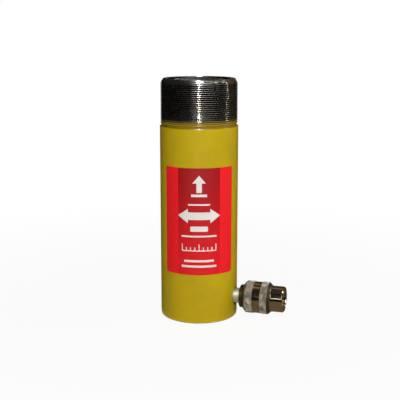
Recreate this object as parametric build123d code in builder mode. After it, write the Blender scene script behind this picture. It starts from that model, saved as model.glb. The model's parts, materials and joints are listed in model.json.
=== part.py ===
from build123d import *
from math import cos, sin, tau
import os

# Single-acting, spring-return hydraulic ram with a screw coupler, in millimetres.
# The ram stands on its base at the origin, its axis is Z, and its oil port faces +X.

# Ram: the plunger's rod sets the widths of the whole ram
rod_diameter = 38.0
stroke = 101.6
base_thickness = 26.5
end_gap = 0.2

# Barrel, from the rod outwards
bore_beyond_rod = 2.5
mouth_beyond_bore = 1.7
rim_width = 2.8
collar_lead_depth = 2.0
shoulder_width = 0.5
base_edge = 0.8
collar_thread_length = 34.0
collar_lead_height = 3.5
mount_thread_diameter = 6.8
mount_thread_depth = 12.7
mount_spacing = 39.7

# Stop ring, which is screwed into the mouth of the barrel
stop_ring_length = 18.5
stop_ring_recess = 1.5
stop_ring_edge = 0.6
spanner_slot_count = 4
spanner_slot_width = 4.0
spanner_slot_depth = 3.0
spanner_slot_length = 1.4
thread_clearance = 0.05
running_clearance = 0.05

# Wiper
wiper_groove_below_top = 6.6
wiper_height = 3.2
wiper_depth = 2.6
wiper_lip = 0.9
seal_clearance = 0.05

# Plunger
rod_end_chamfer = 1.0
rod_end_below_rim = 0.8
head_length = 27.5
head_clearance = 0.3
spigot_inside_bore = 5.5
spigot_wall = 3.0
cavity_roof_thickness = 12.2
plunger_thread_depth = 19.0

# Saddle
rod_end_wall = 4.0
saddle_seat_width = 2.3
saddle_recess_depth = 4.0
saddle_stands_proud = 0.5
saddle_edge = 0.5
saddle_thread_length = 17.0
saddle_groove_count = 2
saddle_groove_pitch = 3.6
saddle_groove_width = 1.2
saddle_groove_depth = 0.6
saddle_first_groove_diameter = 15.6
saddle_hex_across_flats = 8.0
saddle_hex_depth = 6.0

# Bearing ring on the piston head
bearing_width = 7.0
bearing_thickness = 2.2
bearing_above_spigot = 4.5
bearing_split = 1.2
bearing_side_clearance = 0.1

# Piston seal stack, from the bottom up
snap_ring_thickness = 1.2
snap_ring_groove_depth = 0.8
snap_ring_height = 1.6
snap_ring_above_end = 0.8
snap_ring_opening = 9.0
washer_thickness = 0.8
washer_clearance = 1.0
cup_height = 6.2
cup_lip_depth = 3.4
cup_lip_width = 1.5
cup_end_clearance = 0.4
backup_ring_thickness = 1.8
stack_clearance = 0.1

# Return spring and its two anchors
spring_clearance = 1.2
spring_wire = 3.2
spring_pitch = 4.0
spring_end_clearance = 0.2
wire_sides = 6
wire_steps_per_turn = 12
anchor_thread_diameter = 10.0
anchor_thread_length = 9.0
anchor_hole_allowance = 0.8
anchor_flange_thickness = 3.0
anchor_plug_length = 9.0
anchor_hex_across_flats = 8.0
anchor_hex_depth = 5.0

# Oil port and way
port_height = 15.5
port_thread_diameter = 13.2
port_depth = 14.0
oil_way_diameter = 4.6
oil_way_from_port_floor = 2.6

# Label, with its middle turned round the ram's axis from the port
label_width = 55.1
label_height = 77.8
label_bottom = 37.0
label_thickness = 0.1
label_corner = 1.0
label_turn = -73.3
label_glue = 0.08

# Coupler body, from the barrel's wall outwards
coupler_thread_length = 7.5
coupler_thread_setback = 1.5
coupler_neck_diameter = 11.3
coupler_neck_length = 4.0
coupler_shoulder_diameter = 17.0
coupler_shoulder_length = 2.2
coupler_shoulder_edge = 0.4
coupler_spindle_diameter = 16.0
coupler_spindle_land = 0.4
coupler_nose_diameter = 15.2
coupler_nose_length = 8.5
coupler_way_diameter = 5.5

# Coupler valve
valve_chamber_diameter = 10.6
valve_chamber_depth = 16.0
valve_fit_clearance = 0.03
guide_thickness = 2.0
guide_hole_count = 4
guide_hole_diameter = 1.9
guide_hole_circle = 6.9
seat_length = 5.0
seat_bore_diameter = 5.2
seat_mouth_diameter = 8.8
seat_cone_length = 2.5
poppet_head_diameter = 8.0
poppet_head_length = 2.4
poppet_nose_diameter = 3.6
poppet_nose_stands_proud = 1.5
poppet_stem_diameter = 2.6
poppet_stem_clearance = 0.1
poppet_seat_gap = 0.1
poppet_stem_tip = 1.4
poppet_spring_diameter = 7.2
poppet_spring_wire = 0.8
poppet_spring_turns = 4
poppet_spring_clearance = 0.1
face_seal_section = 1.1
face_seal_sides = 8
face_seal_squeeze = 0.25

# Knurled coupler collar, which turns on the coupler body
collar_gap = 0.2
collar_rear_wall = 0.65
collar_rear_chamfer = 2.4
collar_nose_wall = 1.55
collar_band_beyond_nose = 2.325
collar_band_height = 0.3
collar_rear_band_length = 6.0
collar_waist_length = 5.4
collar_front_band_length = 5.4
collar_front_chamfer = 2.3
collar_nose_length = 9.3
collar_nose_edge = 0.8
collar_seat_length = 7.1
union_thread_length = 12.0
union_thread_edge = 0.4
retaining_ring_section = 1.0
retaining_ring_groove_depth = 0.5
retaining_ring_opening = 2.0

# Heights along the ram, each worked out from the one below
floor_z = base_thickness
plunger_bottom_z = floor_z + end_gap
head_top_z = plunger_bottom_z + head_length
stop_ring_bottom_z = head_top_z + stroke + end_gap
stop_ring_top_z = stop_ring_bottom_z + stop_ring_length
rim_z = stop_ring_top_z + stop_ring_recess
collar_thread_bottom_z = rim_z - collar_thread_length
rod_end_z = rim_z - rod_end_below_rim
saddle_seat_z = rod_end_z - saddle_recess_depth
plunger_thread_bottom_z = saddle_seat_z - plunger_thread_depth
cavity_roof_z = plunger_thread_bottom_z - cavity_roof_thickness
washer_top_z = plunger_bottom_z + snap_ring_above_end + snap_ring_thickness + washer_thickness
spigot_top_z = washer_top_z + cup_end_clearance + cup_height + stack_clearance + backup_ring_thickness

# Radii that several pieces share
rod_radius = rod_diameter / 2
bore_radius = rod_radius + bore_beyond_rod
stop_ring_thread_radius = bore_radius + mouth_beyond_bore
collar_radius = stop_ring_thread_radius + rim_width + collar_lead_depth
barrel_radius = collar_radius + shoulder_width
spigot_radius = bore_radius - spigot_inside_bore
cavity_radius = spigot_radius - spigot_wall
saddle_radius = rod_radius - rod_end_wall
plunger_thread_radius = saddle_radius - saddle_seat_width
anchor_thread_radius = anchor_thread_diameter / 2
port_thread_radius = port_thread_diameter / 2

# The coupler's own plane: its x runs out of the port and its y points up
port_plane = Plane(origin=(0, 0, port_height), x_dir=(1, 0, 0), z_dir=(0, -1, 0))
port_axis = Axis((0, 0, port_height), (1, 0, 0))
port_floor_x = barrel_radius - port_depth
oil_way_x = port_floor_x + oil_way_from_port_floor

os.makedirs("parts", exist_ok=True)


# Barrel, closed at its base
with BuildPart() as barrel:
    with BuildSketch(Plane.XZ):
        with BuildLine():
            Polyline(
                (0, 0),
                (barrel_radius - base_edge, 0),
                (barrel_radius, base_edge),
                (barrel_radius, collar_thread_bottom_z),
                (collar_radius, collar_thread_bottom_z),
                (collar_radius, rim_z - collar_lead_height),
                (collar_radius - collar_lead_depth, rim_z),
                (stop_ring_thread_radius, rim_z),
                (stop_ring_thread_radius, stop_ring_bottom_z),
                (bore_radius, stop_ring_bottom_z),
                (bore_radius, floor_z),
                (0, floor_z),
                close=True,
            )
        make_face()
    revolve(axis=Axis.Z)
    # Threaded holes in the base, to bolt the ram down
    with BuildSketch(Plane.XY):
        with GridLocations(0, mount_spacing, 1, 2):
            Circle(mount_thread_diameter / 2)
    extrude(amount=mount_thread_depth, mode=Mode.SUBTRACT)
    # Hole for the spring's lower anchor
    with BuildSketch(Plane.XY.offset(floor_z)):
        Circle(anchor_thread_radius)
    extrude(amount=-anchor_thread_length - anchor_hole_allowance, mode=Mode.SUBTRACT)
    # Threaded oil port, and the way from it up to the bore
    with BuildSketch(Plane(origin=(port_floor_x, 0, port_height), z_dir=(1, 0, 0))):
        Circle(port_thread_radius)
    extrude(amount=barrel_radius, mode=Mode.SUBTRACT)
    with BuildSketch(Plane.XY.offset(port_height)):
        with Locations((oil_way_x, 0)):
            Circle(oil_way_diameter / 2)
    extrude(amount=floor_z - port_height, mode=Mode.SUBTRACT)
barrel.part.label = "barrel"
export_step(barrel.part, "parts/barrel.step")


# Stop ring: it guides the plunger, keeps it in and carries the wiper
wiper_top_z = stop_ring_top_z - wiper_groove_below_top + wiper_height
wiper_bottom_z = stop_ring_top_z - wiper_groove_below_top
guide_radius = rod_radius + running_clearance
stop_ring_radius = stop_ring_thread_radius - thread_clearance
with BuildPart() as stop_ring:
    with BuildSketch(Plane.XZ):
        with BuildLine():
            Polyline(
                (guide_radius, stop_ring_bottom_z),
                (stop_ring_radius - stop_ring_edge, stop_ring_bottom_z),
                (stop_ring_radius, stop_ring_bottom_z + stop_ring_edge),
                (stop_ring_radius, stop_ring_top_z - stop_ring_edge),
                (stop_ring_radius - stop_ring_edge, stop_ring_top_z),
                (guide_radius, stop_ring_top_z),
                (guide_radius, wiper_top_z),
                (rod_radius + wiper_depth, wiper_top_z),
                (rod_radius + wiper_depth, wiper_bottom_z),
                (guide_radius, wiper_bottom_z),
                close=True,
            )
        make_face()
    revolve(axis=Axis.Z)
    with BuildSketch(Plane.XY.offset(stop_ring_top_z)):
        with PolarLocations(stop_ring_radius, spanner_slot_count):
            Rectangle(2 * spanner_slot_length, spanner_slot_width)
    extrude(amount=-spanner_slot_depth, mode=Mode.SUBTRACT)
stop_ring.part.label = "stop_ring"
export_step(stop_ring.part, "parts/stop_ring.step")


# Wiper, with a lip that leans up against the plunger
wiper_inner = rod_radius + seal_clearance
wiper_outer = rod_radius + wiper_depth - seal_clearance
wiper_heel_z = wiper_bottom_z + wiper_height / 2
with BuildPart() as wiper:
    with BuildSketch(Plane.XZ):
        with BuildLine():
            Polyline(
                (wiper_inner + wiper_lip, wiper_bottom_z),
                (wiper_outer, wiper_bottom_z),
                (wiper_outer, wiper_top_z - stack_clearance),
                (wiper_inner + wiper_lip, wiper_heel_z),
                (wiper_inner + wiper_lip / 2, wiper_top_z - stack_clearance),
                (wiper_inner, wiper_top_z - stack_clearance),
                (wiper_inner + wiper_lip / 2, wiper_heel_z),
                close=True,
            )
        make_face()
    revolve(axis=Axis.Z)
wiper.part.label = "wiper"
export_step(wiper.part, "parts/wiper.step")


# Plunger: a hollow rod with the piston head at its foot
head_radius = bore_radius - head_clearance
bearing_bottom_z = spigot_top_z + bearing_above_spigot
bearing_top_z = bearing_bottom_z + bearing_width
bearing_groove_radius = bore_radius - bearing_thickness - running_clearance - seal_clearance
snap_groove_bottom_z = plunger_bottom_z + snap_ring_above_end
snap_groove_top_z = snap_groove_bottom_z + snap_ring_thickness
snap_groove_radius = spigot_radius - snap_ring_groove_depth
with BuildPart() as plunger:
    with BuildSketch(Plane.XZ):
        with BuildLine():
            Polyline(
                (0, cavity_roof_z),
                (cavity_radius, cavity_roof_z),
                (cavity_radius, plunger_bottom_z),
                (spigot_radius, plunger_bottom_z),
                (spigot_radius, snap_groove_bottom_z),
                (snap_groove_radius, snap_groove_bottom_z),
                (snap_groove_radius, snap_groove_top_z),
                (spigot_radius, snap_groove_top_z),
                (spigot_radius, spigot_top_z),
                (head_radius, spigot_top_z),
                (head_radius, bearing_bottom_z),
                (bearing_groove_radius, bearing_bottom_z),
                (bearing_groove_radius, bearing_top_z),
                (head_radius, bearing_top_z),
                (head_radius, head_top_z),
                (rod_radius, head_top_z),
                (rod_radius, rod_end_z - rod_end_chamfer),
                (rod_radius - rod_end_chamfer, rod_end_z),
                (saddle_radius, rod_end_z),
                (saddle_radius, saddle_seat_z),
                (plunger_thread_radius, saddle_seat_z),
                (plunger_thread_radius, plunger_thread_bottom_z),
                (0, plunger_thread_bottom_z),
                close=True,
            )
        make_face()
    revolve(axis=Axis.Z)
    # Hole for the spring's upper anchor
    with BuildSketch(Plane.XY.offset(cavity_roof_z)):
        Circle(anchor_thread_radius)
    extrude(amount=anchor_thread_length + anchor_hole_allowance, mode=Mode.SUBTRACT)
plunger.part.label = "plunger"
export_step(plunger.part, "parts/plunger.step")


# Saddle, screwed into the end of the plunger
saddle_top_z = rod_end_z + saddle_stands_proud
saddle_stem_radius = plunger_thread_radius - thread_clearance
saddle_disc_radius = saddle_radius - head_clearance
saddle_foot_z = saddle_seat_z - saddle_thread_length
with BuildPart() as saddle:
    with BuildSketch(Plane.XZ):
        with BuildLine():
            Polyline(
                (0, saddle_foot_z),
                (saddle_stem_radius - saddle_edge, saddle_foot_z),
                (saddle_stem_radius, saddle_foot_z + saddle_edge),
                (saddle_stem_radius, saddle_seat_z),
                (saddle_disc_radius, saddle_seat_z),
                (saddle_disc_radius, saddle_top_z - saddle_edge),
                (saddle_disc_radius - saddle_edge, saddle_top_z),
                (0, saddle_top_z),
                close=True,
            )
        make_face()
    revolve(axis=Axis.Z)
    # Rings of grip on the face
    with BuildSketch(Plane.XY.offset(saddle_top_z)):
        for groove in reversed(range(saddle_groove_count)):
            groove_radius = saddle_first_groove_diameter / 2 + groove * saddle_groove_pitch
            Circle(groove_radius)
            Circle(groove_radius - saddle_groove_width, mode=Mode.SUBTRACT)
    extrude(amount=-saddle_groove_depth, mode=Mode.SUBTRACT)
    # Hexagon socket, to screw the saddle home
    with BuildSketch(Plane.XY.offset(saddle_top_z)):
        RegularPolygon(saddle_hex_across_flats / 2, 6, major_radius=False)
    extrude(amount=-saddle_hex_depth, mode=Mode.SUBTRACT)
saddle.part.label = "saddle"
export_step(saddle.part, "parts/saddle.step")


# Bearing ring round the piston head, split so that it can be sprung on
bearing_radius = bore_radius - running_clearance
with BuildPart() as piston_bearing:
    with BuildSketch(Plane.XY.offset(bearing_bottom_z + bearing_side_clearance)):
        Circle(bearing_radius)
        Circle(bearing_groove_radius + seal_clearance, mode=Mode.SUBTRACT)
        with Locations((0, bearing_radius)):
            Rectangle(bearing_split, bearing_radius, mode=Mode.SUBTRACT)
    extrude(amount=bearing_width - 2 * bearing_side_clearance)
piston_bearing.part.label = "piston_bearing"
export_step(piston_bearing.part, "parts/piston_bearing.step")


# Seal stack on the spigot: snap ring, washer, U-cup and backup ring
washer_bottom_z = snap_groove_top_z
backup_top_z = spigot_top_z
backup_bottom_z = backup_top_z - backup_ring_thickness
cup_top_z = backup_bottom_z - stack_clearance
cup_bottom_z = cup_top_z - cup_height
spigot_fit_radius = spigot_radius + seal_clearance
cup_radius = bore_radius - seal_clearance

with BuildPart() as piston_snap_ring:
    with BuildSketch(Plane.XY.offset(snap_groove_bottom_z)):
        Circle(snap_groove_radius + snap_ring_height)
        Circle(snap_groove_radius, mode=Mode.SUBTRACT)
        with Locations((0, snap_groove_radius)):
            Rectangle(snap_ring_opening, snap_groove_radius, mode=Mode.SUBTRACT)
    extrude(amount=snap_ring_thickness)
piston_snap_ring.part.label = "piston_snap_ring"
export_step(piston_snap_ring.part, "parts/piston_snap_ring.step")

with BuildPart() as seal_washer:
    with BuildSketch(Plane.XY.offset(washer_bottom_z)):
        Circle(cup_radius - washer_clearance)
        Circle(spigot_fit_radius, mode=Mode.SUBTRACT)
    extrude(amount=washer_thickness)
seal_washer.part.label = "seal_washer"
export_step(seal_washer.part, "parts/seal_washer.step")

with BuildPart() as piston_seal:
    with BuildSketch(Plane.XZ):
        with BuildLine():
            Polyline(
                (spigot_fit_radius, cup_bottom_z),
                (spigot_fit_radius + cup_lip_width, cup_bottom_z),
                (spigot_fit_radius + cup_lip_width, cup_bottom_z + cup_lip_depth),
                (cup_radius - cup_lip_width, cup_bottom_z + cup_lip_depth),
                (cup_radius - cup_lip_width, cup_bottom_z),
                (cup_radius, cup_bottom_z),
                (cup_radius, cup_top_z),
                (spigot_fit_radius, cup_top_z),
                close=True,
            )
        make_face()
    revolve(axis=Axis.Z)
piston_seal.part.label = "piston_seal"
export_step(piston_seal.part, "parts/piston_seal.step")

with BuildPart() as backup_ring:
    with BuildSketch(Plane.XY.offset(backup_bottom_z)):
        Circle(cup_radius)
        Circle(spigot_fit_radius, mode=Mode.SUBTRACT)
    extrude(amount=backup_ring_thickness)
backup_ring.part.label = "backup_ring"
export_step(backup_ring.part, "parts/backup_ring.step")


# Return spring: the coil grips the plug of an anchor at each end
def coil_points(radius, pitch, turns, start):
    """Points along a helix whose axis is z, from the height given by start."""
    steps = round(turns * wire_steps_per_turn)
    turn = tau / wire_steps_per_turn
    rise = pitch / wire_steps_per_turn
    return [(radius * cos(i * turn), radius * sin(i * turn), start + i * rise) for i in range(steps + 1)]


spring_outer_radius = cavity_radius - spring_clearance
spring_radius = spring_outer_radius - spring_wire / 2
spring_low_z = floor_z + anchor_flange_thickness
spring_high_z = cavity_roof_z - anchor_flange_thickness
spring_rise = spring_high_z - spring_low_z - spring_wire - 2 * spring_end_clearance
spring_turns = spring_rise / spring_pitch
with BuildPart() as return_spring:
    with BuildLine():
        start_z = spring_low_z + spring_end_clearance + spring_wire / 2
        coil = Polyline(*coil_points(spring_radius, spring_pitch, spring_turns, start_z))
    with BuildSketch(Plane(origin=coil @ 0, z_dir=coil % 0)):
        RegularPolygon(spring_wire / 2, wire_sides)
    sweep(transition=Transition.RIGHT)
return_spring.part.label = "return_spring"
export_step(return_spring.part, "parts/return_spring.step")


# Spring anchors: a threaded stem, a flange and a plug with a hexagon socket.
# The straight steps of the wire pass nearer the axis than the coil's own radius.
step_middle_radius = spring_radius * cos(tau / wire_steps_per_turn / 2)
anchor_plug_radius = step_middle_radius - spring_wire / 2 - seal_clearance
anchor_stem_radius = anchor_thread_radius - thread_clearance
anchors = (("spring_base_anchor", floor_z, 1), ("spring_plunger_anchor", cavity_roof_z, -1))
for name, seat_z, side in anchors:
    with BuildPart() as anchor:
        with BuildSketch(Plane.XY.offset(seat_z)):
            Circle(anchor_stem_radius)
        extrude(amount=-side * anchor_thread_length)
        with BuildSketch(Plane.XY.offset(seat_z)):
            Circle(spring_outer_radius)
        extrude(amount=side * anchor_flange_thickness)
        with BuildSketch(Plane.XY.offset(seat_z + side * anchor_flange_thickness)):
            Circle(anchor_plug_radius)
        extrude(amount=side * anchor_plug_length)
        plug_end_z = seat_z + side * (anchor_flange_thickness + anchor_plug_length)
        with BuildSketch(Plane.XY.offset(plug_end_z)):
            RegularPolygon(anchor_hex_across_flats / 2, 6, major_radius=False)
        extrude(amount=-side * anchor_hex_depth, mode=Mode.SUBTRACT)
    anchor.part.label = name
    export_step(anchor.part, f"parts/{name}.step")


# Label, bent round the barrel
label_radius = barrel_radius + label_glue
label_angle = 360 * label_width / (tau * label_radius)
label_side = Plane.XZ.rotated((0, 0, label_turn - label_angle / 2))
with BuildPart() as label:
    with BuildSketch(label_side):
        with Locations((label_radius + label_thickness / 2, label_bottom + label_height / 2)):
            Rectangle(label_thickness, label_height)
    revolve(axis=Axis.Z, revolution_arc=label_angle)
    label_corners = label.edges().filter_by(GeomType.LINE).filter_by(
        lambda edge: edge.length < 2 * label_thickness
    )
    fillet(label_corners, radius=label_corner)
label.part.label = "label"
export_step(label.part, "parts/label.step")


# Coupler body: pipe thread, neck, shoulder, spindle for the collar, and nose
neck_start_x = barrel_radius - coupler_thread_setback
thread_end_x = neck_start_x - coupler_thread_length
shoulder_x = barrel_radius + coupler_neck_length
spindle_x = shoulder_x + coupler_shoulder_length
collar_rear_x = spindle_x + collar_gap
collar_step_x = collar_rear_x + collar_seat_length
ring_groove_x = collar_step_x + stack_clearance
ring_groove_end_x = ring_groove_x + retaining_ring_section
nose_start_x = ring_groove_end_x + coupler_spindle_land
front_x = nose_start_x + coupler_nose_length
chamber_x = front_x - valve_chamber_depth
coupler_thread_radius = port_thread_radius - thread_clearance
neck_radius = coupler_neck_diameter / 2
shoulder_radius = coupler_shoulder_diameter / 2
spindle_radius = coupler_spindle_diameter / 2
ring_groove_radius = spindle_radius - retaining_ring_groove_depth
nose_radius = coupler_nose_diameter / 2
chamber_radius = valve_chamber_diameter / 2
way_radius = coupler_way_diameter / 2
face_seal_radius = (nose_radius + chamber_radius) / 2
face_groove_half_width = face_seal_section / 2 + seal_clearance
face_groove_x = front_x - face_seal_section - seal_clearance + face_seal_squeeze
with BuildPart() as coupler_body:
    with BuildSketch(port_plane):
        with BuildLine():
            Polyline(
                (thread_end_x, way_radius),
                (thread_end_x, coupler_thread_radius - coupler_shoulder_edge),
                (thread_end_x + coupler_shoulder_edge, coupler_thread_radius),
                (neck_start_x, coupler_thread_radius),
                (neck_start_x, neck_radius),
                (shoulder_x, neck_radius),
                (shoulder_x, shoulder_radius - coupler_shoulder_edge),
                (shoulder_x + coupler_shoulder_edge, shoulder_radius),
                (spindle_x, shoulder_radius),
                (spindle_x, spindle_radius),
                (ring_groove_x, spindle_radius),
                (ring_groove_x, ring_groove_radius),
                (ring_groove_end_x, ring_groove_radius),
                (ring_groove_end_x, spindle_radius),
                (nose_start_x, spindle_radius),
                (nose_start_x, nose_radius),
                (front_x, nose_radius),
                (front_x, face_seal_radius + face_groove_half_width),
                (face_groove_x, face_seal_radius + face_groove_half_width),
                (face_groove_x, face_seal_radius - face_groove_half_width),
                (front_x, face_seal_radius - face_groove_half_width),
                (front_x, chamber_radius),
                (chamber_x, chamber_radius),
                (chamber_x, way_radius),
                close=True,
            )
        make_face()
    revolve(axis=port_axis)
coupler_body.part.label = "coupler_body"
export_step(coupler_body.part, "parts/coupler_body.step")


# Face seal: a rubber ring in the groove of the coupler body
with BuildPart() as coupler_face_seal:
    with BuildSketch(port_plane):
        with Locations((face_groove_x + seal_clearance + face_seal_section / 2, face_seal_radius)):
            RegularPolygon(face_seal_section / 2, face_seal_sides)
    revolve(axis=port_axis)
coupler_face_seal.part.label = "coupler_face_seal"
export_step(coupler_face_seal.part, "parts/coupler_face_seal.step")


# Valve seat, screwed into the mouth of the chamber
valve_fit_radius = chamber_radius - valve_fit_clearance
seat_back_x = front_x - seat_length
seat_bore_radius = seat_bore_diameter / 2
seat_mouth_radius = seat_mouth_diameter / 2
with BuildPart() as valve_seat:
    with BuildSketch(port_plane):
        with BuildLine():
            Polyline(
                (seat_back_x, seat_mouth_radius),
                (seat_back_x, valve_fit_radius),
                (front_x, valve_fit_radius),
                (front_x, seat_bore_radius),
                (seat_back_x + seat_cone_length, seat_bore_radius),
                close=True,
            )
        make_face()
    revolve(axis=port_axis)
valve_seat.part.label = "valve_seat"
export_step(valve_seat.part, "parts/valve_seat.step")


# Poppet guide: a disc with a hole for the stem and holes for the oil
guide_front_x = chamber_x + guide_thickness
poppet_stem_radius = poppet_stem_diameter / 2
with BuildPart() as poppet_guide:
    with BuildSketch(Plane(origin=(chamber_x, 0, port_height), z_dir=(1, 0, 0))):
        Circle(valve_fit_radius)
        Circle(poppet_stem_radius + poppet_stem_clearance, mode=Mode.SUBTRACT)
        with PolarLocations(guide_hole_circle / 2, guide_hole_count):
            Circle(guide_hole_diameter / 2, mode=Mode.SUBTRACT)
    extrude(amount=guide_thickness)
poppet_guide.part.label = "poppet_guide"
export_step(poppet_guide.part, "parts/poppet_guide.step")


# Poppet: its cone lies on the cone of the seat, and its nose is pushed in by the mate
cone_slope = (seat_mouth_radius - seat_bore_radius) / seat_cone_length
head_radius_of_poppet = poppet_head_diameter / 2
poppet_nose_radius = poppet_nose_diameter / 2
cone_start_x = seat_back_x + (seat_mouth_radius - head_radius_of_poppet) / cone_slope - poppet_seat_gap
cone_end_x = cone_start_x + (head_radius_of_poppet - poppet_nose_radius) / cone_slope
poppet_back_x = cone_start_x - poppet_head_length
nose_tip_x = front_x + poppet_nose_stands_proud
with BuildPart() as poppet:
    with BuildSketch(port_plane):
        with BuildLine():
            Polyline(
                (chamber_x - poppet_stem_tip, 0),
                (chamber_x - poppet_stem_tip, poppet_stem_radius),
                (poppet_back_x, poppet_stem_radius),
                (poppet_back_x, head_radius_of_poppet),
                (cone_start_x, head_radius_of_poppet),
                (cone_end_x, poppet_nose_radius),
                (nose_tip_x - coupler_shoulder_edge, poppet_nose_radius),
                (nose_tip_x, poppet_nose_radius - coupler_shoulder_edge),
                (nose_tip_x, 0),
                close=True,
            )
        make_face()
    revolve(axis=port_axis)
poppet.part.label = "poppet"
export_step(poppet.part, "parts/poppet.step")


# Poppet spring, between the guide and the back of the poppet
poppet_wire_radius = poppet_spring_wire / 2
poppet_spring_radius = poppet_spring_diameter / 2 - poppet_wire_radius
poppet_spring_start_x = guide_front_x + poppet_spring_clearance + poppet_wire_radius
poppet_spring_end_x = poppet_back_x - poppet_spring_clearance - poppet_wire_radius
poppet_spring_pitch = (poppet_spring_end_x - poppet_spring_start_x) / poppet_spring_turns
poppet_coil_points = coil_points(
    poppet_spring_radius, poppet_spring_pitch, poppet_spring_turns, poppet_spring_start_x
)
with BuildPart() as poppet_spring:
    with BuildLine():
        poppet_coil = Polyline(*[(along, y, port_height + z) for y, z, along in poppet_coil_points])
    with BuildSketch(Plane(origin=poppet_coil @ 0, z_dir=poppet_coil % 0)):
        RegularPolygon(poppet_wire_radius, wire_sides)
    sweep(transition=Transition.RIGHT)
poppet_spring.part.label = "poppet_spring"
export_step(poppet_spring.part, "parts/poppet_spring.step")


# Retaining ring, which keeps the collar on its spindle
ring_outer_radius = ring_groove_radius + retaining_ring_section
with BuildPart() as collar_retaining_ring:
    with BuildSketch(Plane(origin=(ring_groove_x, 0, port_height), z_dir=(1, 0, 0))):
        Circle(ring_outer_radius)
        Circle(ring_groove_radius, mode=Mode.SUBTRACT)
        with Locations((0, ring_outer_radius)):
            Rectangle(retaining_ring_opening, ring_outer_radius, mode=Mode.SUBTRACT)
    extrude(amount=retaining_ring_section)
collar_retaining_ring.part.label = "collar_retaining_ring"
export_step(collar_retaining_ring.part, "parts/collar_retaining_ring.step")


# Coupler collar: two bands for the grip, a smooth waist and a smooth nose.
# Its thread for the hose union is as wide as the spindle that it turns on.
rear_band_x = collar_rear_x + collar_rear_chamfer
waist_x = rear_band_x + collar_rear_band_length
front_band_x = waist_x + collar_waist_length
front_chamfer_x = front_band_x + collar_front_band_length
collar_nose_x = front_chamfer_x + collar_front_chamfer
collar_front_x = collar_nose_x + collar_nose_length
union_thread_x = collar_front_x - union_thread_length
collar_bore_radius = spindle_radius + running_clearance
collar_rear_radius = collar_bore_radius + collar_rear_wall
relief_radius = ring_outer_radius + stack_clearance
collar_nose_radius = spindle_radius + collar_nose_wall
band_radius = collar_nose_radius + collar_band_beyond_nose
waist_radius = band_radius - collar_band_height
with BuildPart() as coupler_collar:
    with BuildSketch(port_plane):
        with BuildLine():
            Polyline(
                (collar_rear_x, collar_bore_radius),
                (collar_rear_x, collar_rear_radius),
                (rear_band_x, band_radius),
                (waist_x, band_radius),
                (waist_x, waist_radius),
                (front_band_x, waist_radius),
                (front_band_x, band_radius),
                (front_chamfer_x, band_radius),
                (collar_nose_x, collar_nose_radius),
                (collar_front_x - collar_nose_edge, collar_nose_radius),
                (collar_front_x, collar_nose_radius - collar_nose_edge),
                (collar_front_x, spindle_radius + union_thread_edge),
                (collar_front_x - union_thread_edge, spindle_radius),
                (union_thread_x, spindle_radius),
                (union_thread_x, relief_radius),
                (collar_step_x, relief_radius),
                (collar_step_x, collar_bore_radius),
                close=True,
            )
        make_face()
    revolve(axis=port_axis)
coupler_collar.part.label = "coupler_collar"
export_step(coupler_collar.part, "parts/coupler_collar.step")
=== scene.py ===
# %% [markdown]
# A hydraulic ram, dressed for its portrait.
# The ram was designed in CAD, and its pieces arrive here as plain meshes at their real size.
# This file gives them the surfaces of the real thing: glossy yellow paint, a dark threaded
# steel collar, a red label and a knurled coupler. Everything stays in metres, in the CAD frame.

# %% Load the frame
import json
from math import atan2, cos, hypot, pi, radians, sin, tau
import bmesh
import bpy
from mathutils import Matrix, Vector


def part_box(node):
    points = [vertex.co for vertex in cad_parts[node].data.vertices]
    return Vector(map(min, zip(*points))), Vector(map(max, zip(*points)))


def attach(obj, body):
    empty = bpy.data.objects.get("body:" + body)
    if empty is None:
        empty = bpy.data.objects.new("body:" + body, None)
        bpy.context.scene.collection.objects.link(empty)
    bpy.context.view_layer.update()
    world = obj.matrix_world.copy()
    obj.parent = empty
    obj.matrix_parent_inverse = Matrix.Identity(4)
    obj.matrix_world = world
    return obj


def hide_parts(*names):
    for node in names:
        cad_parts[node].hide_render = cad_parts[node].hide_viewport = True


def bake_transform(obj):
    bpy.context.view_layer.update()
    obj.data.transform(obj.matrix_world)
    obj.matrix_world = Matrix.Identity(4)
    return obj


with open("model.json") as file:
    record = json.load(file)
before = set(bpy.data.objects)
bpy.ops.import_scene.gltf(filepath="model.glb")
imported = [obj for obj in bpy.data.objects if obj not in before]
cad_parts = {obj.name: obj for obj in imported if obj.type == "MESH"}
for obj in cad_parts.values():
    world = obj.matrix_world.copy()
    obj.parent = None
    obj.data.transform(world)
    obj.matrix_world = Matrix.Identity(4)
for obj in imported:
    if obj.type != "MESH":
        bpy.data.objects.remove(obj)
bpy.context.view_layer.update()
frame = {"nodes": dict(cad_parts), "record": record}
MM = 0.001
print("nodes:", len(frame["nodes"]))

# %% [markdown]
# The sizes come from the CAD model, not from the photograph, so that each dressed piece lies
# on the solid that it stands for. A node's box gives its reach, and a mount gives a bore or pin.

# %% Sizes that several pieces share
mounts = {mount["name"]: mount for mount in frame["record"]["mounts"]}
barrel_low, barrel_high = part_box("barrel")
BARREL_RADIUS = -barrel_low.x
RIM_Z = barrel_high.z
PORT_Z = mounts["hose_union"]["pos_m"][2]
COLLAR_RADIUS = mounts["collar_thread"]["dims"]["r_mm"] * MM
COLLAR_LENGTH = mounts["collar_thread"]["dims"]["length_mm"] * MM
LEAD_HEIGHT = 3.5 * MM
LEAD_DEPTH = 2.0 * MM
LEAD_RADIUS = COLLAR_RADIUS - LEAD_DEPTH
LEAD_SLOPE = LEAD_DEPTH / LEAD_HEIGHT
COLLAR_TOP_Z = RIM_Z - LEAD_HEIGHT
SHOULDER_Z = COLLAR_TOP_Z - COLLAR_LENGTH
heights = {"rim": RIM_Z, "shoulder": SHOULDER_Z, "port": PORT_Z}
print("heights in mm:", {name: round(height / MM, 2) for name, height in heights.items()})

# %% [markdown]
# ## Camera
# The photograph was taken from a little above the ram's top, with a long lens, and a few
# degrees to the coupler's side. The distance and height were found by fitting the outline.
# A camera looks along its own -Z, so to_track_quat turns that axis towards the target.

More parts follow.
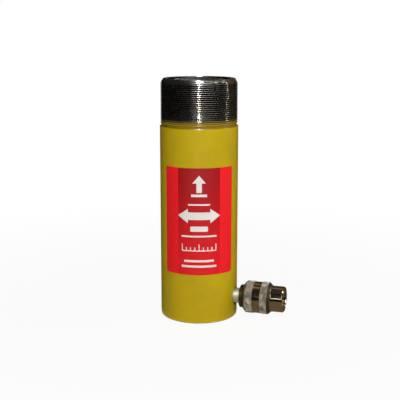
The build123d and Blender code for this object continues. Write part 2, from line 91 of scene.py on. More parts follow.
# %% The camera
VIEW_AZIMUTH = radians(16.7)
CAMERA_DISTANCE = 0.6116
CAMERA_HEIGHT = 0.2116
CAMERA_PITCH = radians(11.57)
CAMERA_LENS = 75.9
SENSOR_WIDTH = 36.0
SHIFT_IN_PIXELS = 0.9
PICTURE_IN_PIXELS = 400


def around(azimuth, distance, height):
    """A place seen from the ram's axis: azimuth in degrees to the right of the camera."""
    angle = VIEW_AZIMUTH + radians(azimuth)
    return Vector((sin(angle) * distance, -cos(angle) * distance, height))


camera_data = bpy.data.cameras.new("camera")
camera_data.lens = CAMERA_LENS
camera_data.sensor_width = SENSOR_WIDTH
camera_data.shift_x = SHIFT_IN_PIXELS / PICTURE_IN_PIXELS
camera = bpy.data.objects.new("camera", camera_data)
bpy.context.scene.collection.objects.link(camera)
camera.location = around(0, CAMERA_DISTANCE, CAMERA_HEIGHT)
looks_along = around(180, cos(CAMERA_PITCH), -sin(CAMERA_PITCH))
camera.rotation_euler = looks_along.to_track_quat("-Z", "Y").to_euler()
bpy.context.scene.camera = camera
print("camera at", [round(v, 3) for v in camera.location])

# %% [markdown]
# ## Writing materials as formulas
# A procedural material is a small network of nodes, which could be wired by hand in the shader
# editor. In code that is slow to read, so one small class wraps a socket and turns +, - and *
# into Math nodes. A formula for a finish then reads like a formula.

# %% A socket that can do arithmetic
class Signal:
    def __init__(self, shader, socket):
        self.shader = shader
        self.socket = socket

    def math(self, operation, *others, clamp=False):
        values = dict(enumerate((self, *others)))
        return self.shader.node("Math", {"operation": operation, "use_clamp": clamp}, values)

    def __add__(self, other):
        return self.math("ADD", other)

    __radd__ = __add__

    def __mul__(self, other):
        return self.math("MULTIPLY", other)

    def __sub__(self, other):
        return self.math("SUBTRACT", other)

    def __rsub__(self, other):
        return self.math("MULTIPLY", -1.0) + other

    def bigger(self, other):
        return self.math("MAXIMUM", other)

    def smaller(self, other):
        return self.math("MINIMUM", other)

    def size(self):
        return self.math("ABSOLUTE")

    def reach(self, other):
        """How far a point with these two coordinates lies from zero."""
        return (self * self + other * other).math("SQRT")


print("a signal knows:", [name for name, made in vars(Signal).items() if callable(made)])

# %% [markdown]
# A second class makes every other node with a single method: its kind, its settings, then its
# inputs. On top of it stand the few patterns that all finishes here are mixed from: noise,
# a soft step, a blend of two colours, a bump and scattered spots of wear.

# %% A node tree whose nodes are written as one line each
class Shader:
    def __init__(self, holder, surface="ShaderNodeOutputMaterial"):
        holder.use_nodes = True
        self.tree = holder.node_tree
        self.tree.nodes.clear()
        self.surface = self.tree.nodes.new(surface).inputs["Surface"]

    def node(self, kind, settings=None, values=None, output=0):
        made = self.tree.nodes.new("ShaderNode" + kind)
        for key, value in (settings or {}).items():
            setattr(made, key, value)
        for key, value in (values or {}).items():
            if isinstance(value, Signal):
                self.tree.links.new(value.socket, made.inputs[key])
            else:
                made.inputs[key].default_value = value
        return Signal(self, made.outputs[output])

    def place(self, axis=None, source="Object"):
        """Where a point lies: in the piece's own metres, or in its UV map."""
        spot = self.node("TexCoord", output=source)
        return self.node("SeparateXYZ", values={0: spot}, output=axis) if axis else spot

    def noise(self, scale, detail=3.0, roughness=0.5, stretch=(1, 1, 1)):
        """Noise from 0 to 1 with so many features to the metre; stretch adds more along an axis."""
        spot = self.node("Mapping", values={"Vector": self.place(), "Scale": stretch})
        look = {"Scale": scale, "Detail": detail, "Roughness": roughness}
        return self.node("TexNoise", values={"Vector": spot, **look})

    def step(self, value, low, high):
        """0 below low, 1 above high, and smooth between."""
        sizes = {"Value": value, "From Min": low, "From Max": high}
        return self.node("MapRange", {"interpolation_type": "SMOOTHSTEP"}, sizes)

    def blend(self, amount, first, second):
        """One colour turning into another as amount goes from 0 to 1."""
        return self.node("Mix", {"data_type": "RGBA"}, {0: amount, 6: first, 7: second}, output=2)

    def bump(self, height, depth, strength=1.0):
        return self.node("Bump", values={"Height": height, "Distance": depth, "Strength": strength})

    def wear(self, scale, share):
        """Small spots that cover about a share of the surface, grouped in patches."""
        spots = self.step(self.noise(scale, 2), 0.74 - share, 0.77 - share)
        patches = self.step(self.noise(scale / 12, 2), 0.5, 0.6)
        return spots * patches

    def finish(self, values):
        surface = self.node("BsdfPrincipled", values=values)
        self.tree.links.new(surface.socket, self.surface)


print("a shader knows:", [name for name, made in vars(Shader).items() if callable(made)])

# %% [markdown]
# Paints are matched to numbers from 0 to 255, as a screen shows them. A shader works
# with light, where twice the number is twice the light, so each colour is converted first.

# %% Colours and new materials
def paint(red, green, blue):
    """A screen colour, 0 to 255, as the linear colour that a shader wants."""
    parts = [v / 255 for v in (red, green, blue)]
    light = [p / 12.92 if p <= 0.04045 else ((p + 0.055) / 1.055) ** 2.4 for p in parts]
    return (*light, 1.0)


def new_material(name):
    material = bpy.data.materials.new(name)
    return material, Shader(material)


print("yellow as a shader colour:", [round(v, 3) for v in paint(200, 172, 22)])

# %% [markdown]
# ## Yellow paint and bare steel on one barrel
# The barrel is painted after machining, with the collar's thread masked off, so the paint runs
# over the first turns of the thread and stops in a soft, slightly ragged line. Two materials
# on separate faces would meet in a hard edge, so one material holds both, and masks from 0 to
# 1 say where the steel is bare: above the paint's edge, in the bores, underneath and where the
# foot is worn.

# %% Where the barrel is bare
PAINT_EDGE_Z = SHOULDER_Z + 4.5 * MM
PAINT_EDGE_SOFT = 2.0 * MM
MOUTH_RADIUS = 23.2 * MM
PORT_RADIUS = 6.6 * MM
BORE_MASK_Z = 20 * MM

enamel, s = new_material("enamel_over_steel")
height = s.place("Z")
from_axis = s.place("X").reach(s.place("Y"))
ragged = (s.noise(140, 4) - 0.5) * 1.4 * MM
edge_low, edge_high = PAINT_EDGE_Z - PAINT_EDGE_SOFT, PAINT_EDGE_Z + PAINT_EDGE_SOFT
above_paint = s.step(height + ragged, edge_low, edge_high)
in_mouth = 1 - s.step(from_axis, MOUTH_RADIUS + 0.1 * MM, MOUTH_RADIUS + 0.2 * MM)
bored = in_mouth * s.step(height, BORE_MASK_Z, BORE_MASK_Z + 1 * MM)
underneath = 1 - s.step(height, 0.02 * MM, 0.06 * MM)
near_foot = 1 - s.step(height + ragged * 0.4, 0.3 * MM, 1.2 * MM)
foot_wear = near_foot * s.step(s.noise(350, 3), 0.5, 0.62)
from_port = s.place("Y").reach(s.place("Z") - PORT_Z)
beside_port = s.step(from_port, PORT_RADIUS, PORT_RADIUS + 0.15 * MM)
# Painted shade: the port's bore is coloured dark brown.
port_painted_shade = (1 - beside_port) * s.step(s.place("X"), 0, 1 * MM)
bare = above_paint.bigger(bored).bigger(underneath).bigger(foot_wear).bigger(s.wear(800, 0.01))
print("nodes that mask the barrel:", len(enamel.node_tree.nodes))

# %% [markdown]
# The paint is enamel: saturated, glossy, with a faint orange peel. It is thin and browner over
# the shoulder, where a little clear gloss lies on it. The bare thread is dark steel with a
# trace of brown oil. The thread's roots, in steel and in paint, are painted darker: partly
# grime, partly painted shade that keeps the roots from catching the light.

# %% Enamel and steel
mottle = s.noise(45, 5, 0.6)
yellow = s.blend(s.step(mottle, 0.35, 0.7), paint(202, 174, 14), paint(192, 165, 10))
yellow = s.blend(s.step(s.noise(700, 3), 0.58, 0.8) * 0.25, yellow, paint(150, 128, 30))
thin_paint = s.step(height, SHOULDER_Z - 0.6 * MM, SHOULDER_Z + 0.3 * MM)
yellow = s.blend(thin_paint * 0.95, yellow, paint(182, 153, 16))
oil = s.noise(60, 4, 0.6, stretch=(1, 1, 4))
steel = s.blend(s.step(oil, 0.4, 0.65), paint(152, 152, 151), paint(128, 121, 111))
thread_top = ((RIM_Z - height) * LEAD_SLOPE + LEAD_RADIUS).smaller(COLLAR_RADIUS)
on_collar = s.step(height, SHOULDER_Z, SHOULDER_Z + 0.1 * MM)
on_rim = s.step(height, RIM_Z - 0.4 * MM, RIM_Z - 0.2 * MM)
# Painted shade and grime: the thread's roots are coloured darker, in the steel and in the paint.
groove_dirt_and_shade = s.step(thread_top - from_axis, 0.1 * MM, 0.42 * MM) * (on_collar * (1 - on_rim))
steel = s.blend(groove_dirt_and_shade, steel, paint(34, 30, 26))
yellow = s.blend(groove_dirt_and_shade * 0.5, yellow, paint(60, 48, 14))
peel = s.noise(1500, 2) * (1 - bare)
s.finish({
    # The dark brown inside the port is painted shade.
    "Base Color": s.blend(port_painted_shade, s.blend(bare, yellow, steel), paint(34, 28, 20)),
    "Metallic": bare * 0.95,
    "Roughness": (1 - bare) * (0.24 + mottle * 0.12) + bare * (0.16 + oil * 0.05),
    "Normal": s.bump(peel * 0.6 - bare * 0.3, 0.05 * MM, 0.25),
    "Specular IOR Level": 0.3,
    "Coat Weight": thin_paint * (1 - bare) * 0.6,
    "Coat Roughness": 0.12,
})
print("enamel nodes:", len(enamel.node_tree.nodes))

# %% [markdown]
# ## Helpers for turned pieces
# Almost everything here was made on a lathe, so most pieces begin as an outline that is spun
# round an axis. Joined cylinders would do too, but then their seams would have to be closed. A
# full spin merges its last copy with its first. Real turned parts never have razor edges, so
# the sharp rings get a small bevel, which is what catches the light. The line where a bevel
# meets a flat is marked sharp, or smooth shading would bend the whole flat.

# %% Turn an outline round the Z axis
def turned(outline, steps=160):
    """A closed solid of revolution from (radius, height) corners, given in metres."""
    bm = bmesh.new()
    corners = [bm.verts.new((radius, 0, height)) for radius, height in outline]
    edges = [bm.edges.new(pair) for pair in zip(corners, corners[1:] + corners[:1])]
    bmesh.ops.spin(
        bm, geom=corners + edges, cent=(0, 0, 0), axis=(0, 0, 1),
        angle=tau, steps=steps, use_merge=True,
    )
    bmesh.ops.remove_doubles(bm, verts=bm.verts, dist=1e-7)
    bmesh.ops.dissolve_degenerate(bm, edges=bm.edges, dist=1e-8)
    bmesh.ops.recalc_face_normals(bm, faces=bm.faces)
    return bm


def soften(bm, width, sharper_than=25.0, segments=2):
    """Bevels the edges whose faces meet at more than an angle in degrees."""
    sharp = [e for e in bm.edges if e.is_manifold and e.calc_face_angle(0) > radians(sharper_than)]
    bevelled = bmesh.ops.bevel(
        bm, geom=sharp, offset=width, offset_type="OFFSET", segments=segments,
        profile=0.5, affect="EDGES", material=-1, clamp_overlap=True,
    )
    rounded = set(bevelled["faces"])
    for edge in {edge for face in rounded for edge in face.edges}:
        edge.smooth = all(face in rounded for face in edge.link_faces)
    return bm


print("turned pieces can be spun and softened")

# %% [markdown]
# Each mesh becomes one object with a name that says what it is. It then rides on the body that
# moves it, fills its material slot, and hides the CAD node that it takes the place of, so that
# a pose moves the dressed model just as it moves the CAD model.

# %% Turn a mesh into a finished piece
def piece(name, bm, body, material, replaces=(), sharper_than=32.0):
    """Shades a mesh smooth between its sharp edges and gives it to the body that carries it."""
    for face in bm.faces:
        face.smooth = True
    for edge in bm.edges:
        flat_enough = edge.is_manifold and edge.calc_face_angle(0) < radians(sharper_than)
        edge.smooth = edge.smooth and flat_enough
    mesh = bpy.data.meshes.new(name)
    bm.to_mesh(mesh)
    bm.free()
    mesh.materials.append(material)
    made = bpy.data.objects.new(name, mesh)
    bpy.context.scene.collection.objects.link(made)
    if body:
        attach(made, body)
    if replaces:
        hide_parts(*replaces)
    print(name, "faces:", len(mesh.polygons))
    return made


# %% [markdown]
# ## Barrel
# The barrel is one bar of steel, bored from the top. Its outline is spun with extra rings near
# the port, so that the hole cut there later leaves the wall's shading clean. The collar is
# turned down to the root of its thread, and the thread itself is wound on in a later cell.

# %% Barrel body
THREAD_PITCH = 25.4 * MM / 18
THREAD_DEPTH = 0.541 * THREAD_PITCH
ROOT_RADIUS = COLLAR_RADIUS - THREAD_DEPTH
ROOT_TOP_Z = COLLAR_TOP_Z + THREAD_DEPTH / LEAD_SLOPE
MOUTH_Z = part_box("stop_ring")[0].z
BORE_RADIUS = 21.5 * MM
FLOOR_Z = 26.5 * MM
BASE_EDGE = 0.8 * MM
RING_STEP = 1.5 * MM

ring_count = round(2 * PORT_Z / RING_STEP)
rings = [(BARREL_RADIUS, BASE_EDGE + RING_STEP * i) for i in range(1, ring_count)]
barrel_mesh = soften(turned([
    (0, 0),
    (BARREL_RADIUS - BASE_EDGE, 0),
    (BARREL_RADIUS, BASE_EDGE),
    *rings,
    (BARREL_RADIUS, SHOULDER_Z),
    (ROOT_RADIUS, SHOULDER_Z),
    (ROOT_RADIUS, ROOT_TOP_Z - 0.9 * MM),
    (ROOT_RADIUS - 0.05 * MM, ROOT_TOP_Z - 0.3 * MM),
    (ROOT_RADIUS - 0.2 * MM, ROOT_TOP_Z + 0.2 * MM),
    (LEAD_RADIUS, RIM_Z),
    (MOUTH_RADIUS, RIM_Z),
    (MOUTH_RADIUS, MOUTH_Z),
    (BORE_RADIUS, MOUTH_Z),
    (BORE_RADIUS, FLOOR_Z),
    (0, FLOOR_Z),
]), 0.3 * MM)
print("barrel faces:", len(barrel_mesh.faces), "thread root at", round(ROOT_RADIUS / MM, 2))

# %% [markdown]
# Holes are cut with a boolean: a cutter for each hole is spun like any other piece, laid
# along the hole and subtracted. Each cutter is first turned a little about its own axis: where
# a corner of it lay exactly on an edge of the barrel, the cut could go either way. The
# modifier's result is then read back as a plain mesh, so nothing live is left on the piece.

# %% Drill the port and the mounting holes
CUTTER_TURN = 0.02
CUTTER_STEPS = 64


def placed(bm, start, along):
    """Stands a mesh that was made round Z on a point, with its Z along a direction."""
    turn = Vector(along).to_track_quat("Z", "Y").to_matrix().to_4x4()
    bm.transform(Matrix.Translation(start) @ turn)
    return bm


def loose_object(name, bm):
    mesh = bpy.data.meshes.new(name)
    bm.to_mesh(mesh)
    bm.free()
    made = bpy.data.objects.new(name, mesh)
    bpy.context.scene.collection.objects.link(made)
    return made


def drilled(bm, holes):
    """The mesh with holes taken out of it: each is (radius, start, direction, length)."""
    blank = loose_object("blank", bm)
    tools = []
    for radius, start, along, length in holes:
        bar = turned([(0, 0), (radius, 0), (radius, length), (0, length)], CUTTER_STEPS)
        bar.transform(Matrix.Rotation(CUTTER_TURN, 4, "Z"))
        tools.append(loose_object("cutter", placed(bar, start, along)))
        cut = blank.modifiers.new("cut", "BOOLEAN")
        cut.solver = "EXACT"
        cut.object = tools[-1]
    result = bmesh.new()
    result.from_object(blank, bpy.context.evaluated_depsgraph_get())
    for scrap in (blank, *tools):
        bpy.data.objects.remove(scrap)
    return result


BOLT_Y = mounts["base_bolts"]["dims"]["spacing_y_mm"] * MM / 2
BOLT_RADIUS = mounts["base_bolts"]["dims"]["hole_r_mm"] * MM
BOLT_DEPTH = 12.7 * MM
PORT_FLOOR_X = BARREL_RADIUS - 14.0 * MM
OIL_WAY_X = PORT_FLOOR_X + 2.6 * MM
OIL_WAY_RADIUS = 2.3 * MM
ANCHOR_HOLE_RADIUS = 5.0 * MM
ANCHOR_HOLE_DEPTH = 9.8 * MM
UP = (0, 0, 1)
holes = [
    (PORT_RADIUS, (PORT_FLOOR_X, 0, PORT_Z), (1, 0, 0), BARREL_RADIUS),
    (OIL_WAY_RADIUS, (OIL_WAY_X, 0, PORT_Z), UP, FLOOR_Z),
    (ANCHOR_HOLE_RADIUS, (0, 0, FLOOR_Z - ANCHOR_HOLE_DEPTH), UP, FLOOR_Z),
]
for side in (-1, 1):
    holes.append((BOLT_RADIUS, (0, side * BOLT_Y, -BASE_EDGE), UP, BOLT_DEPTH + BASE_EDGE))
barrel_mesh = drilled(barrel_mesh, holes)
piece("painted_barrel", barrel_mesh, "barrel_body", enamel, ["barrel"], 12)

# %% [markdown]
# ## Threads
# A thread is one ridge wound round and round. The ridge's section is a triangle with a worn,
# rounded top, and spin with a dvec lifts it a little at every step, which makes a true helix.
# One turn is spun and then copied upwards, which is much quicker than spinning them all.
# The round top matters: somewhere on every turn it faces the lamp, and draws a dot of light.
# At both ends the ridge sinks back into its cylinder, as a cutter that is drawn away leaves it.

# %% Wind an outline and a ridge
SUNK = 0.1 * MM
RIDGE_SHARES = (-0.47, -0.35, -0.22, -0.1, 0, 0.1, 0.22, 0.35, 0.47)


def move_out(vert, radius, wanted):
    """Takes a point from one distance from the Z axis to another."""
    vert.co.x *= wanted / radius
    vert.co.y *= wanted / radius


def wound(bm, pitch, turns, steps):
    """Winds the outline in a mesh up a helix about the Z axis, for a whole number of turns."""
    bmesh.ops.spin(
        bm, geom=bm.verts[:] + bm.edges[:], cent=(0, 0, 0), axis=(0, 0, 1),
        dvec=(0, 0, pitch / steps), angle=tau, steps=steps, use_merge=False,
    )
    first_turn = bm.verts[:] + bm.edges[:] + bm.faces[:]
    for count in range(1, turns):
        copy = bmesh.ops.duplicate(bm, geom=first_turn)["geom"]
        moved = [item for item in copy if isinstance(item, bmesh.types.BMVert)]
        bmesh.ops.translate(bm, vec=(0, 0, pitch * count), verts=moved)
    bmesh.ops.remove_doubles(bm, verts=bm.verts, dist=1e-6)
    bmesh.ops.holes_fill(bm, edges=[edge for edge in bm.edges if edge.is_boundary], sides=0)
    bmesh.ops.recalc_face_normals(bm, faces=bm.faces)
    return bm


def wound_ridge(root, crest, pitch, turns, start, steps=80):
    """A helical ridge from a root radius to a crest radius, about the Z axis."""
    under = root + (SUNK if root > crest else -SUNK)
    half = (crest - root) / 2
    wave = [(root + half * (1 + cos(tau * share)), share * pitch) for share in RIDGE_SHARES]
    section = [(under, RIDGE_SHARES[0] * pitch), *wave, (under, RIDGE_SHARES[-1] * pitch)]
    bm = bmesh.new()
    corners = [bm.verts.new((radius, 0, start + height)) for radius, height in section]
    for pair in zip(corners, corners[1:] + corners[:1]):
        bm.edges.new(pair)
    wound(bm, pitch, turns, steps)
    for vert in bm.verts:
        radius = hypot(vert.co.x, vert.co.y)
        part_turn = atan2(vert.co.y, vert.co.x) / tau % 1
        turn = part_turn + round((vert.co.z - start) / pitch - part_turn)
        grown = max(0.0, min(1.0, 4 * turn, 4 * (turns - turn)))
        move_out(vert, radius, under + (radius - under) * grown)
    return bm


print("corners of a ridge's section:", len(RIDGE_SHARES) + 2)

# %% [markdown]
# The collar's thread has 18 turns to the inch, counted in the photograph. Where the collar's
# end is chamfered, the tops of the thread are turned off, so any point that stands outside
# the chamfer's cone is pulled back to it.

# %% Collar thread
FIRST_TURN_Z = SHOULDER_Z + 1.25 * MM
thread_turns = round((ROOT_TOP_Z - FIRST_TURN_Z) / THREAD_PITCH)
thread_mesh = wound_ridge(ROOT_RADIUS, COLLAR_RADIUS, THREAD_PITCH, thread_turns, FIRST_TURN_Z)
for vert in thread_mesh.verts:
    radius = hypot(vert.co.x, vert.co.y)
    move_out(vert, radius, min(radius, LEAD_RADIUS + (RIM_Z - vert.co.z) * LEAD_SLOPE))
piece("collar_thread", thread_mesh, "barrel_body", enamel, sharper_than=70)
print("turns of thread:", thread_turns)

# %% [markdown]
# ## Label
# The label is thin gloss vinyl, bent round the front of the barrel. A flat grid is laid out at
# full size, rounded at its corners, given a thickness, and then rolled onto the barrel. Its
# flat layout is kept as a UV map, so that the print can be drawn in plain millimetres.

# %% Roll the label on
label_low, label_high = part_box("label")
LABEL_WIDTH = 55.1 * MM
LABEL_TURN = radians(-73.3)
LABEL_HEIGHT = label_high.z - label_low.z
LABEL_OUTER = BARREL_RADIUS + 0.16 * MM
LABEL_THICKNESS = 0.14 * MM
LABEL_CORNER = 1.0 * MM

label_mesh = bmesh.new()
bmesh.ops.create_grid(label_mesh, x_segments=40, y_segments=4, size=0.5)
bmesh.ops.scale(label_mesh, vec=(LABEL_WIDTH, LABEL_HEIGHT, 1), verts=label_mesh.verts)
corners = [v for v in label_mesh.verts if len(v.link_edges) == 2]
bmesh.ops.bevel(
    label_mesh, geom=corners, offset=LABEL_CORNER, offset_type="OFFSET", segments=4,
    profile=0.5, affect="VERTICES", material=-1, clamp_overlap=True,
)
bmesh.ops.solidify(label_mesh, geom=label_mesh.faces[:], thickness=LABEL_THICKNESS)
flat = label_mesh.loops.layers.uv.new("millimetres")
deepest = min(v.co.z for v in label_mesh.verts)
for face in label_mesh.faces:
    for loop in face.loops:
        loop[flat].uv = (loop.vert.co.x / MM, (loop.vert.co.y + LABEL_HEIGHT / 2) / MM)
for vert in label_mesh.verts:
    radius = LABEL_OUTER - LABEL_THICKNESS + vert.co.z - deepest
    angle = LABEL_TURN + vert.co.x / LABEL_OUTER
    height = (label_low.z + label_high.z) / 2 + vert.co.y
    vert.co = (radius * cos(angle), radius * sin(angle), height)
bmesh.ops.recalc_face_normals(label_mesh, faces=label_mesh.faces)
print("label faces:", len(label_mesh.faces))

# %% [markdown]
# The red is darker in a band down the label's middle, most at the top and fading out
# downwards. The print on it is a plain layout of shapes: an arrow that says which way the ram
# pushes, bars and a scale. It could be a picture, but that would blur close up. Each shape is
# a mask made from the distance to its outline instead, which stays sharp at any size.

# %% Shapes to print with
SOFT_EDGE = 0.06


def bar(s, u, v, centre, half, corner=0.0):
    """1 inside a rounded bar; centre, half sizes and corner are in millimetres."""
    beside = ((u - centre[0]).size() - (half[0] - corner)).bigger(0.0)
    above = ((v - centre[1]).size() - (half[1] - corner)).bigger(0.0)
    outside = beside.reach(above)
    return 1 - s.step(outside, max(corner - SOFT_EDGE, 0.0), corner + SOFT_EDGE)


def arrow_head(s, along, across, tip, length, half_width):
    """1 inside a triangle whose tip lies at a place along one direction."""
    from_tip = (along - tip) * (-1 if length > 0 else 1)
    length = abs(length)
    side = from_tip * (half_width / length) - across.size()
    behind = s.step(from_tip, length - SOFT_EDGE, length + SOFT_EDGE)
    return s.step(side, -SOFT_EDGE, SOFT_EDGE) * (1 - behind)


print("shapes end softly over", 2 * SOFT_EDGE, "mm")

# %% [markdown]
# The vinyl is glossy and bright red, with a slight ripple, because it was rubbed on by hand.
# The white ink of all shapes is joined by taking the largest mask at each point. The numbers
# are millimetres from the middle of the label's foot.

# %% Print the label
PANEL_HALF_WIDTH = 15.6
PANEL_FADE = 78
ARROW_V = 43.4
SCALE_V = 18.0
TICKS = 9
TICK_PITCH = 3.1

vinyl, s = new_material("printed_vinyl")
u, v = s.place("X", "UV"), s.place("Y", "UV")
beside_panel = s.step(u.size(), PANEL_HALF_WIDTH - 0.1, PANEL_HALF_WIDTH + 0.1)
panel = (1 - beside_panel) * (0.3 + s.step(v, 0, PANEL_FADE) * 0.7)
red = s.blend(panel, paint(255, 22, 34), paint(172, 8, 18))
white_shapes = [
    arrow_head(s, v, u, 72.6, 5.6, 4.8),
    bar(s, u, v, (0, 63.7), (1.9, 3.4)),
    bar(s, u, v, (0, 58.2), (5.6, 0.9)),
    bar(s, u, v, (0, 51.6), (8.0, 0.55), 0.5),
    arrow_head(s, u, v - ARROW_V, 15.6, 7.5, 5.2),
    arrow_head(s, u, v - ARROW_V, -15.6, -7.5, 5.2),
    bar(s, u, v, (0, ARROW_V), (8.6, 2.7)),
    bar(s, u, v, (0, 34.0), (6.4, 1.9), 0.9),
    bar(s, u, v, (0, 28.6), (13.0, 0.6), 0.5),
    bar(s, u, v, (0, SCALE_V), (12.6, 0.35)),
    bar(s, u, v, (0, 10.4), (11.0, 0.8), 0.7),
    bar(s, u, v, (0, 6.4), (13.0, 0.8), 0.7),
]
for tick in range(TICKS):
    tall = 2.4 if tick % 4 == 0 else 1.3
    tick_u = (tick - (TICKS - 1) / 2) * TICK_PITCH
    white_shapes.append(bar(s, u, v, (tick_u, SCALE_V + tall), (0.3, tall)))
ink = white_shapes[0]
for shape in white_shapes[1:]:
    ink = ink.bigger(shape)
colour = s.blend(ink, red, paint(240, 236, 232))
colour = s.blend(s.wear(900, 0.015) * 0.7, colour, paint(120, 40, 36))
ripple = s.noise(120, 3)
s.finish({
    "Base Color": colour,
    "Roughness": 0.3 + ripple * 0.14 + ink * 0.06,
    "Normal": s.bump(ripple + ink * 0.2, 0.06 * MM, 0.2),
    "Specular IOR Level": 0.35,
})
piece("rolled_label", label_mesh, "barrel_body", vinyl, ["label"])
print("vinyl nodes:", len(vinyl.node_tree.nodes))

# %% [markdown]
# ## Finishes of the small parts
# One recipe covers the metals: a colour that varies a little, fine lines left by the tool, and
# a few handling marks. The lines run round the axis that the part was turned on, so the noise
# is squeezed across that axis. What differs is colour, roughness and how strong the lines are.
# Rubber and plastic share a second recipe: a fine skin and a little dust.

# %% Metal, rubber and plastic
ROUND_Z = (0.03, 0.03, 1)
ROUND_X = (1, 0.03, 0.03)
PLATED_COLOUR, PLATED_STAIN = (186, 172, 146), (164, 146, 118)


def metal(name, colour, stained, roughness, grain, lines=0.3):
    material, s = new_material(name)
    stain = s.noise(90, 4, 0.6)
    tool = s.noise(3000, 3, stretch=grain)
    marks = s.wear(700, 0.03)
    tint = s.blend(s.step(stain, 0.42, 0.68), paint(*colour), paint(*stained))
    s.finish({
        "Base Color": s.blend(marks * 0.5, tint, paint(*(v * 0.5 for v in stained))),
        "Metallic": 1.0,
        "Roughness": roughness + stain * 0.08 + tool * 0.06 + marks * 0.1,
        "Normal": s.bump(tool * lines - marks * 0.4, 0.03 * MM, 0.4),
    })
    return material


def soft_finish(name, colour, roughness, specks):
    material, s = new_material(name)
    skin = s.noise(1200, 4, 0.6)
    dust = s.step(s.noise(500, 4), 0.55, 0.75)
    lighter = paint(*(v + specks for v in colour))
    s.finish({
        "Base Color": s.blend(dust * 0.5, paint(*colour), lighter),
        "Roughness": roughness + dust * 0.1,
        "Normal": s.bump(skin, 0.04 * MM, 0.3),
    })
    return material


machined = metal("machined_steel", (112, 108, 100), (84, 74, 62), 0.22, ROUND_Z)
blackened = metal("blackened_steel", (58, 56, 54), (44, 40, 36), 0.3, ROUND_Z)
chrome = metal("hard_chrome", (206, 208, 210), (188, 188, 188), 0.14, ROUND_Z, 0.1)
plated = metal("polished_plating", PLATED_COLOUR, PLATED_STAIN, 0.05, ROUND_X, 0.05)
wire = metal("spring_wire", (120, 120, 122), (92, 90, 88), 0.26, (1, 1, 1))
bronze = metal("bearing_bronze", (176, 138, 84), (146, 108, 60), 0.3, ROUND_Z)
rubber = soft_finish("seal_rubber", (34, 34, 35), 0.5, 26)
ptfe = soft_finish("white_plastic", (224, 222, 212), 0.42, -20)
print("materials so far:", len(bpy.data.materials))

# %% [markdown]
# The coupler body is dark with old oil but for its neck, the stretch beside the barrel, which
# is pale and dull. Deeper in the port the neck stays dark, as painted shade in the hole. Painting
# the faces one by one would tie the finish to the mesh, so a mask along the port's axis does it.

# %% Coupler body
SHOULDER_X = BARREL_RADIUS + 4.0 * MM

body_plating, s = new_material("body_plating")
along = s.place("X")
# Deeper in the port the neck keeps the dark colour: painted shade in the hole.
clear_of_port_shade = s.step(along, BARREL_RADIUS - 1.4 * MM, BARREL_RADIUS - 1.0 * MM)
on_neck = clear_of_port_shade * (1 - s.step(along, SHOULDER_X - 0.1 * MM, SHOULDER_X))
grime = s.noise(160, 4, 0.6)
dark = s.blend(s.step(grime, 0.4, 0.7), paint(96, 88, 68), paint(66, 56, 38))
pale = s.blend(s.step(grime, 0.4, 0.7), paint(198, 192, 172), paint(168, 158, 132))
s.finish({
    "Base Color": s.blend(on_neck, dark, pale),
    "Metallic": 0.9 - on_neck * 0.5,
    "Roughness": 0.2 + grime * 0.12 + on_neck * 0.2,
    "Normal": s.bump(grime, 0.05 * MM, 0.3),
})
print("coupler body nodes:", len(body_plating.node_tree.nodes))

# %% [markdown]
# The knurl is bright on the tops of its diamonds, where hands rub it, and dark in its grooves
# with grime and painted shade, so its colour follows the distance from the coupler's axis.

# %% Knurl
collar_low, collar_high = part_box("coupler_collar")
COLLAR_REAR_X, COLLAR_FRONT_X = collar_low.x, collar_high.x
BAND_RADIUS = collar_high.z - PORT_Z
KNURL_DEPTH = 0.4 * MM

knurl_plating, s = new_material("knurl_plating")
from_axis = s.place("Y").reach(s.place("Z") - PORT_Z)
uneven = (s.noise(500, 2) - 0.5) * 0.5 * MM
# The dark colour in the grooves is grime and painted shade.
rubbed_tops_shaded_grooves = s.step(from_axis + uneven, BAND_RADIUS - 0.7 * KNURL_DEPTH, BAND_RADIUS - 0.1 * MM)
grime = s.noise(240, 4, 0.6)
tops = s.blend(s.step(grime, 0.4, 0.62), paint(232, 228, 212), paint(150, 140, 116))
s.finish({
    "Base Color": s.blend(rubbed_tops_shaded_grooves, paint(58, 50, 36), tops),
    "Metallic": 0.3,
    "Roughness": 0.34 - rubbed_tops_shaded_grooves * 0.16 + grime * 0.08,
    "Normal": s.bump(s.noise(700, 2), 0.12 * MM, 0.5),
})
print("knurls at a radius of", round(BAND_RADIUS / MM, 2), "mm")

# %% [markdown]
# The rest of the collar is polished plating, warm in tone. Its rear edge and the cone between
# the front band and the nose are painted dark, as painted shade beside the bands, and dull.

# %% Collar plating
REAR_BAND = (COLLAR_REAR_X + 2.4 * MM, COLLAR_REAR_X + 8.4 * MM)
FRONT_BAND = (REAR_BAND[1] + 5.4 * MM, REAR_BAND[1] + 10.8 * MM)
NOSE_X = FRONT_BAND[1] + 2.3 * MM

collar_plating, s = new_material("collar_plating")
along = s.place("X")
past_band = s.step(along, FRONT_BAND[1] - 0.1 * MM, FRONT_BAND[1] + 0.1 * MM)
on_cone = past_band * (1 - s.step(along, NOSE_X - 0.5 * MM, NOSE_X))
on_rear = 1 - s.step(along, REAR_BAND[0] - 0.4 * MM, REAR_BAND[0] + 0.2 * MM)
# Painted shade: the rear edge and the cone are coloured dark.
painted_shade_rear_and_cone = on_rear.bigger(on_cone)
stain = s.noise(90, 4, 0.6)
bright = s.blend(s.step(stain, 0.42, 0.68), paint(*PLATED_COLOUR), paint(*PLATED_STAIN))
s.finish({
    "Base Color": s.blend(painted_shade_rear_and_cone, bright, paint(62, 55, 40)),
    "Metallic": 1 - painted_shade_rear_and_cone * 0.4,
    "Roughness": 0.06 + stain * 0.06 + painted_shade_rear_and_cone * 0.3,
    "Normal": s.bump(s.noise(3000, 3, stretch=ROUND_X), 0.03 * MM, 0.02),
})
print("materials:", len(bpy.data.materials))

